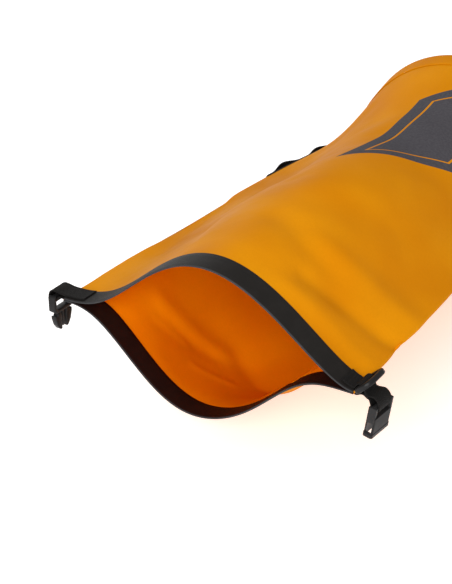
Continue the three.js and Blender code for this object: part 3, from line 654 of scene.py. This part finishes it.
def make_band(name, ring, nodes_replaced):
    """The folded band on one lip, a U in section: outer leg, turned front and inner leg."""
    open_share = smooth((np.minimum(ring.share, 1 - ring.share) - 0.05) / 0.06)
    inner = BAND_INNER_AT_CORNER[0] + (BAND_INNER_AT_OPENING[0] - BAND_INNER_AT_CORNER[0]) * open_share
    inner_top = BAND_INNER_AT_CORNER[1] + (BAND_INNER_AT_OPENING[1] - BAND_INNER_AT_CORNER[1]) * open_share
    flat = np.ones(len(ring.angle))
    low, high = BAND_OUTER
    front = -1.2
    steps = (BAND_WIDTH - 0.25, 18, 12, 6, 1)
    profile = [(flat * y, flat * high) for y in steps]
    numbers = [0] * 5
    middle, half = (high + inner) / 2, (high - inner) / 2
    for turn in np.radians((0, 35, 65, 90, 115, 145, 180)):
        profile.append((flat * (-0.2 + (front + 0.2) * math.sin(turn)), middle + half * math.cos(turn)))
    numbers += [2] * 6 + [1]
    profile += [(flat * y, inner) for y in steps[::-1]]
    numbers += [1] * 4 + [2]
    profile += [(flat * BAND_WIDTH, inner_top), (flat * 12, inner_top), (flat * -0.3, inner_top)]
    numbers += [1] * 3
    profile += [(flat * -0.3, flat * low), (flat * 12, flat * low), (flat * BAND_WIDTH, flat * low)]
    numbers += [0, 0, 2]
    band = profile_piece(name, ring, profile, [BAND, BAND_INSIDE_PAINTED_BOUNCE, BAND_EDGE], numbers, False)
    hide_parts(*nodes_replaced)
    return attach(band, "bag")


# ---- lash strips on their patches
def lash_rise(along):
    pitch = (LASH_END - LASH_START - LASH_TACK) / LASH_LOOPS
    within = (along - LASH_START) % pitch
    arch = np.sin(np.pi * np.clip((within - LASH_TACK) / (pitch - LASH_TACK), 0, 1)) ** 2
    return LASH_RISE * np.where(within < LASH_TACK, 0, arch)


def make_lash(side):
    low, high = LASH_SPANS[side]
    patch_ring = RING.between(low - LASH_SIDE_MARGIN, high + LASH_SIDE_MARGIN, 29)
    patch_rows = rows_between((LASH_START - LASH_MARGIN, LASH_END + LASH_MARGIN, 4))
    skins = [BAND, BAND, BAND_EDGE]
    patch = layer_piece(f"lash_patch_{side}_cloth", patch_ring, patch_rows, *LASH_PATCH, skins)
    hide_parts(f"lash_patch_{side}")
    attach(patch, "bag")
    ring = RING.between(low, high, 25)
    rows = rows_between((LASH_START, LASH_END, 1.5))
    rise = lash_rise(rows)[:, None]
    inner, outer = (out + rise for out in LASH_STRIP)
    strip = layer_piece(f"lash_webbing_{side}", ring, rows, inner, outer, [WEBBING])
    shift = (low + high) / 2 * MM_PER_DEGREE / 1000
    for loop in strip.data.uv_layers[0].data:
        loop.uv.x -= shift
    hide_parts(f"lash_strip_{side}")
    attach(strip, "bag")
    stitches = []
    pitch = (LASH_END - LASH_START - LASH_TACK) / LASH_LOOPS
    for tack in range(LASH_LOOPS + 1):
        for offset in TACK_STITCHES:
            row = LASH_START + tack * pitch + offset
            stitches.append(surface(RING.between(low + 0.6, high - 0.6, 14), [[row]], LASH_STRIP[1])[0])
    for edge in (low - 1.3, high + 1.3):
        ring = RING.between(edge, edge, 1)
        rows = np.arange(LASH_START - 2, LASH_END + 2, 3.2)[:, None]
        stitches.append(surface(ring, rows, LASH_PATCH[1])[:, 0])
    piece = stitching(f"lash_stitching_{side}", stitches, (TUBE_CENTRE[0], TUBE_CENTRE[1]))
    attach(piece, "bag")


# ---- thread: each stitch is a small bead lying on the cloth
def stitching(name, lines, axis, radius=0.28, fill=0.78):
    """Stitches along lines of points in mm, which stand out from the axis (x, z)."""
    points, faces, uvs = [], [], []
    around = np.radians(np.arange(0, 360, 60))
    shape = ((0.0, 0.25), (0.12, 0.8), (0.5, 1.0), (0.88, 0.8), (1.0, 0.25))
    for line in lines:
        for a, b in zip(line[:-1], line[1:]):
            run = b - a
            size = np.linalg.norm(run)
            if size < 1e-6:
                continue
            forward = run / size
            away = (a + b) / 2 - np.array([axis[0], ((a + b) / 2)[1], axis[1]])
            away -= forward * (away @ forward)
            away /= np.linalg.norm(away)
            side = np.cross(forward, away)
            start = a + run * (1 - fill) / 2
            first = len(points)
            last = first + (len(shape) - 1) * len(around)
            for share, width in shape:
                middle = start + run * fill * share + away * radius * 0.35
                for turn in around:
                    offset = away * math.cos(turn) * 0.8 + side * math.sin(turn)
                    points.append(middle + offset * radius * width)
                    uvs.append((turn * 0.0003, share * size / 1000))
            faces += grid_faces(len(shape), len(around), first, True).tolist()
            faces += [list(range(first, first + len(around))), list(range(last, last + len(around)))[::-1]]
    piece = mesh_piece(name, np.array(points), faces, np.array(uvs), None, [THREAD])
    return face_outwards(piece)


# ---- corner straps
def smooth_path(knots, count):
    """Points at equal steps along a centripetal curve through the knots."""
    knots = np.asarray(knots, float)
    ends = np.concatenate([[2 * knots[0] - knots[1]], knots, [2 * knots[-1] - knots[-2]]])
    fine = []
    for p0, p1, p2, p3 in zip(ends[:-3], ends[1:-2], ends[2:-1], ends[3:]):
        t0 = 0
        t1, t2, t3 = np.cumsum([np.linalg.norm(b - a) ** 0.5 for a, b in ((p0, p1), (p1, p2), (p2, p3))])
        t = np.linspace(t1, t2, 24, endpoint=False)[:, None]
        a1 = (t1 - t) / (t1 - t0) * p0 + (t - t0) / (t1 - t0) * p1
        a2 = (t2 - t) / (t2 - t1) * p1 + (t - t1) / (t2 - t1) * p2
        a3 = (t3 - t) / (t3 - t2) * p2 + (t - t2) / (t3 - t2) * p3
        b1 = (t2 - t) / (t2 - t0) * a1 + (t - t0) / (t2 - t0) * a2
        b2 = (t3 - t) / (t3 - t1) * a2 + (t - t1) / (t3 - t1) * a3
        fine.append((t2 - t) / (t2 - t1) * b1 + (t - t1) / (t2 - t1) * b2)
    fine = np.concatenate([*fine, knots[-1:]])
    run = np.concatenate([[0], np.cumsum(np.linalg.norm(np.diff(fine, axis=0), axis=1))])
    goal = np.linspace(0, run[-1], count)
    return np.stack([np.interp(goal, run, column) for column in fine.T], -1), goal


def webbing_section():
    """Half the strap's section and its mirror: flat faces, fuller woven edges."""
    half, thick = WEBBING_WIDTH / 2, WEBBING_THICKNESS / 2
    top = [(-half + 0.7, thick), (-half + 1.6, thick * 1.04), (-half + 2.4, thick * 0.88)]
    top += [(y, thick * 0.9) for y in (-4.5, 0, 4.5)]
    top += [(-y, z) for y, z in top[:3][::-1]]
    edge = [(half - 0.15, thick * 0.5), (half, 0), (half - 0.15, -thick * 0.5)]
    return top + edge + [(y, -z) for y, z in top[::-1]] + [(-y, z) for y, z in edge[::-1]]


def make_strap(name, knots, count, turned=lambda points: points):
    path, run = smooth_path(knots, count)
    tangent = np.gradient(path, axis=0)
    tangent /= np.linalg.norm(tangent, axis=1)[:, None]
    section = np.array(webbing_section())
    sections, uvs = [], []
    for (x, z), (tx, tz), distance in zip(path, tangent, run):
        points = np.stack([
            x - tz * section[:, 1], WEBBING_CENTRE_Y + section[:, 0], z + tx * section[:, 1],
        ], -1)
        sections.append(turned(points))
        uvs.append(np.stack([section[:, 0], np.full(len(section), distance)], -1) / 1000)
    strap = swept_piece(name, sections, uvs, [WEBBING])
    return strap


TAIL_OFFSET = BAND_OUTER[1] * (1 - PRESSED_AT_LIP) + 0.15 + WEBBING_THICKNESS / 2
STITCH_SINK, STITCH_REACH, STITCH_ENDS = 0.93, 8.8, 9


def tail_point(lip, x, offset):
    """A point of a sewn tail, above the band of this lip."""

    def height(at):
        return lip["rise"] * lip_shape(lip, at / MOUTH_HALF_WIDTH) / lip_peak(lip)

    slope = height(x + 0.5) - height(x - 0.5)
    up = np.array([-slope, 1.0])
    up *= offset * np.sign(lip["rise"]) / np.linalg.norm(up)
    return [x + up[0], height(x) + up[1]]


def tail(lip, stops, outward_first):
    """A sewn tail through stops of (x, share of the full offset)."""
    points = [tail_point(lip, x, TAIL_OFFSET * share) for x, share in stops]
    return points if outward_first else points[::-1]


def make_left_strap():
    stops = ((-128.5, 0.96), (-134, 1.0), (-142, 1.0), (-147.5, 1.0))
    x, z = MALE_BAR
    loop = [
        (-151.5, 2.2), (-156, 2.5), (-160.6, 3.2), (x - 1, z + 6.9),
        (x - 4.4, z + 4.9), (x - 6, z - 0.4), (x - 4.4, z - 3.1), (x - 1.2, z - 4.1),
        (x + 2, z - 3.3), (-159.6, -2.2), (-156, -1.6), (-151.5, -1.9),
    ]
    knots = tail(UPPER_LIP, stops, True) + loop + tail(LOWER_LIP, stops, False)
    strap = make_strap("left_corner_strap", knots, 150)
    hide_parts("left_strap_anchor", "left_strap_loop")
    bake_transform(strap)
    lines = [strap_line(lip, at) for lip in (UPPER_LIP, LOWER_LIP) for at in (-137.2, -144.6)]
    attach(stitching("left_strap_stitching", lines, (-140, 0)), "bag")


def strap_line(lip, at):
    """A line of stitch ends across a strap's tail, sunk a little into its outer face."""
    x, z = tail_point(lip, at, TAIL_OFFSET * STITCH_SINK + WEBBING_THICKNESS / 2 - 0.15)
    y = np.linspace(-STITCH_REACH, STITCH_REACH, STITCH_ENDS) + WEBBING_CENTRE_Y
    return np.stack([np.full(STITCH_ENDS, x), y, np.full(STITCH_ENDS, z)], -1)


def make_right_strap():
    stops = ((136, 1.0), (140, 1.0), (144.5, 1.0), (148, 1.0))
    x, z = RING_BAR
    bx, bz = FEMALE_BAR
    loop = [
        (150.5, 5.4), (x - 1.6, z + 3.9), (x + 1.2, z + 4.0), (x + 3.5, z + 2.1),
        (159.7, -0.6), (162.4, -1.5), (bx - 2, bz + 9.6),
        (bx + 1.6, bz + 7.3), (bx + 3.3, bz + 4.1), (bx + 3.7, bz), (bx + 2.6, bz - 2.6), (bx, bz - 3.7),
        (bx - 2.6, bz - 2.6), (bx - 3.7, bz), (bx - 4.8, bz + 3.7), (163.4, -4.3), (161.2, -3.3),
        (x + 3.4, z - 4.6), (x + 0.4, z - 4.9), (151.0, -3.0),
    ]

    def turned(points):
        share = smooth((points[:, :1] - 160) / 4)
        angle = -math.radians(FEMALE_YAW) * share[:, 0]
        dx, dy = points[:, 0] - bx, points[:, 1] - WEBBING_CENTRE_Y
        moved = points.copy()
        moved[:, 0] = bx + dx * np.cos(angle) - dy * np.sin(angle)
        moved[:, 1] = WEBBING_CENTRE_Y + dx * np.sin(angle) + dy * np.cos(angle)
        return moved

    knots = tail(UPPER_LIP, stops, True) + loop + tail(LOWER_LIP, stops, False)
    strap = make_strap("right_corner_strap", knots, 170, turned)
    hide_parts("right_strap_anchor", "right_strap_loop")
    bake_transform(strap)
    lines = [strap_line(lip, 141) for lip in (UPPER_LIP, LOWER_LIP)]
    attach(stitching("right_strap_stitching", lines, (140, 0)), "bag")


# ---- moulded hardware
def moulded(name, node, body, bevel, materials=(PLASTIC,)):
    """A moulding with the node's shape and rounded edges."""
    work = bmesh.new()
    work.from_mesh(frame["nodes"][node].data)
    bmesh.ops.remove_doubles(work, verts=work.verts, dist=1e-6)
    bmesh.ops.dissolve_limit(work, angle_limit=math.radians(2), verts=work.verts, edges=work.edges)
    mesh = bpy.data.meshes.new(name)
    work.to_mesh(mesh)
    work.free()
    for layer in list(mesh.uv_layers):
        mesh.uv_layers.remove(layer)
    mesh.materials.clear()
    for material in materials:
        mesh.materials.append(material)
    piece = bpy.data.objects.new(name, mesh)
    bpy.context.scene.collection.objects.link(piece)
    rounding = piece.modifiers.new("rounding", "BEVEL")
    rounding.width = bevel / 1000
    rounding.segments = 3
    rounding.limit_method = "ANGLE"
    rounding.angle_limit = math.radians(28)
    rounding.harden_normals = True
    shown = piece.evaluated_get(bpy.context.evaluated_depsgraph_get())
    piece.data = bpy.data.meshes.new_from_object(shown)
    piece.modifiers.clear()
    piece.data.polygons.foreach_set("use_smooth", np.ones(len(piece.data.polygons), bool))
    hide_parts(node)
    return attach(piece, body)


def make_ring_piece():
    """The D-ring: a rounded section carried round a bar and a bow, leaning with its strap."""
    section, foot = RING_SHAPE["section"], RING_SHAPE["foot"]
    half = RING_SHAPE["half_width"] - section / 2
    reach = RING_SHAPE["reach"] - section
    bow = RING_SHAPE["bow_radius"] - section / 2
    corners = [
        (half - foot, foot, foot, -90), (half - bow, reach - bow, bow, 0),
        (bow - half, reach - bow, bow, 90), (foot - half, foot, foot, 180),
    ]
    path = []
    for cy, cz, radius, start in corners:
        for turn in np.radians(np.linspace(start, start + 90, 4 if radius == foot else 14)):
            path.append((cy + radius * math.cos(turn), cz + radius * math.sin(turn)))
    path = np.array(path)
    tangent = np.roll(path, -1, 0) - np.roll(path, 1, 0)
    tangent /= np.linalg.norm(tangent, axis=1)[:, None]
    around = np.radians(np.arange(0, 360, 15))
    across = np.sign(np.cos(around)) * np.abs(np.cos(around)) ** RING_SQUARENESS * section / 2
    thick = np.sign(np.sin(around)) * np.abs(np.sin(around)) ** RING_SQUARENESS * section / 2
    lean = math.radians(90 - RING_LEAN)
    sections = []
    for (y, z), (ty, tz) in zip(path, tangent):
        local_y, local_z = y + tz * across, z - ty * across
        sections.append(np.stack([
            RING_BAR[0] + thick * math.cos(lean) + local_z * math.sin(lean),
            WEBBING_CENTRE_Y + local_y,
            RING_BAR[1] - thick * math.sin(lean) + local_z * math.cos(lean),
        ], -1))
    uvs = np.zeros((len(path), len(around), 2))
    ring = swept_piece("d_ring_moulded", sections, uvs, [PLASTIC], [0] * len(around), True)
    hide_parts("d_ring")
    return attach(ring, "ring")


make_body()
make_base()
make_base_tape()
make_body_tape()
make_band("upper_lip_band", UPPER_STATIONS, ("upper_band", "upper_stiffener"))
make_band("lower_lip_band", LOWER_STATIONS, ("lower_band", "lower_stiffener"))
for side in LASH_SPANS:
    make_lash(side)
make_left_strap()
make_right_strap()
moulded("male_frame_moulded", "male_buckle_frame", "male_buckle", 0.7)
moulded("male_arm_front_moulded", "male_arm_front", "male_front_arm", 0.6)
moulded("male_arm_rear_moulded", "male_arm_rear", "male_rear_arm", 0.6)
moulded("female_housing_moulded", "female_buckle_housing", "female_buckle", 0.35)
make_ring_piece()


# ---- stage, light and camera
def make_stage():
    nodes = Nodes("pale_floor")
    grain = nodes.noise(40.0, 3.0)
    colour = nodes.mix(grain, (0.93, 0.93, 0.93), (0.95, 0.95, 0.95))
    material = nodes.finish(
        colour, 0.7, Specular_IOR_Level=0.1, Emission_Color=(1.0, 1.0, 1.0, 1.0), Emission_Strength=0.42,
    )
    bpy.ops.mesh.primitive_plane_add(size=14, location=(0, 0, -0.0005))
    floor = bpy.context.object
    floor.name = "studio_floor"
    floor.data.materials.append(material)
    world = bpy.data.worlds.new("studio")
    bpy.context.scene.world = world
    world.use_nodes = True
    background = world.node_tree.nodes["Background"]
    background.inputs["Color"].default_value = (1.0, 1.0, 1.0, 1.0)
    background.inputs["Strength"].default_value = 0.54


def softbox(name, place, target, size, power, colour=(1, 1, 1)):
    light = bpy.data.lights.new(name, "AREA")
    light.shape, light.size, light.size_y = "RECTANGLE", *size
    light.energy, light.color = power, colour
    lamp = bpy.data.objects.new(name, light)
    bpy.context.scene.collection.objects.link(lamp)
    lamp.location = place
    lamp.rotation_euler = (Vector(target) - Vector(place)).to_track_quat("-Z", "Y").to_euler()


CAMERA_PLACE = (570.37, -860.81, 603.77)
CAMERA_YAW, CAMERA_PITCH = 32.283, 28.184
CAMERA_LENS = 84.67


def make_camera():
    camera = bpy.data.cameras.new("camera")
    camera.sensor_fit = "AUTO"
    camera.sensor_width = 36
    camera.lens = CAMERA_LENS
    camera.clip_start, camera.clip_end = 0.01, 50
    view = bpy.data.objects.new("camera", camera)
    bpy.context.scene.collection.objects.link(view)
    view.location = placed(CAMERA_PLACE)
    view.rotation_euler = (math.radians(90 - CAMERA_PITCH), 0, math.radians(CAMERA_YAW))
    bpy.context.scene.camera = view


make_stage()
softbox("overhead", (-0.35, 0.25, 1.6), (0, 0, 0.1), (1.6, 1.6), 5)
softbox("rim_left", (-1.3, 1.1, 0.9), (0, 0, 0.15), (0.9, 1.4), 5)
softbox("front_fill", (0.45, -1.5, 0.75), (0, -0.15, 0.1), (1.0, 0.8), 22)
make_camera()
bpy.context.scene.view_settings.view_transform = "Standard"
